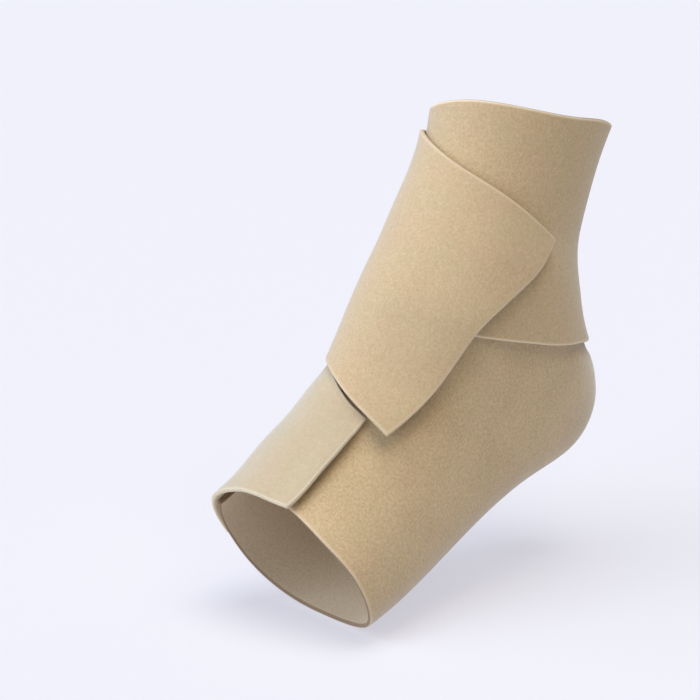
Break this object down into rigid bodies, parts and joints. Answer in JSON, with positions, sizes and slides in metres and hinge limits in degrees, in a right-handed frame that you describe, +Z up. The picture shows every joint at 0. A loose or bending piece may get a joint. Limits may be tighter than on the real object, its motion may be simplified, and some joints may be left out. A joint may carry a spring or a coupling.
{
  "type": "ankle and foot compression wrap",
  "caption": "Soft compression wrap for an ankle and foot: a heel body and an ankle band closed over the front by overlapping flaps with hook pads, open at top and toes.",
  "frame": {"origin": "centre of the ankle inside the wrap, where the wearer holds it up", "axes": "+Z up with the heel raised as worn, -Y toward the toe hem, +X toward the outer side of the left foot"},
  "size_m": [0.087, 0.1832, 0.1965],
  "materials": {
    "foot_body": "matte fine knit face on foam",
    "forefoot_flap": "matte brushed loop face on foam",
    "ankle_band": "matte brushed loop face on foam",
    "instep_flap": "matte brushed loop face on foam",
    "hook_pad": "matte hook tape"
  },
  "bodies": {
    "root": {"foot_body": "foot_body", "forefoot_flap": "forefoot_flap", "ankle_band": "ankle_band", "instep_flap": "instep_flap", "forefoot_hook_pad": "hook_pad", "instep_hook_pad": "hook_pad"}
  },
  "joints": []
}
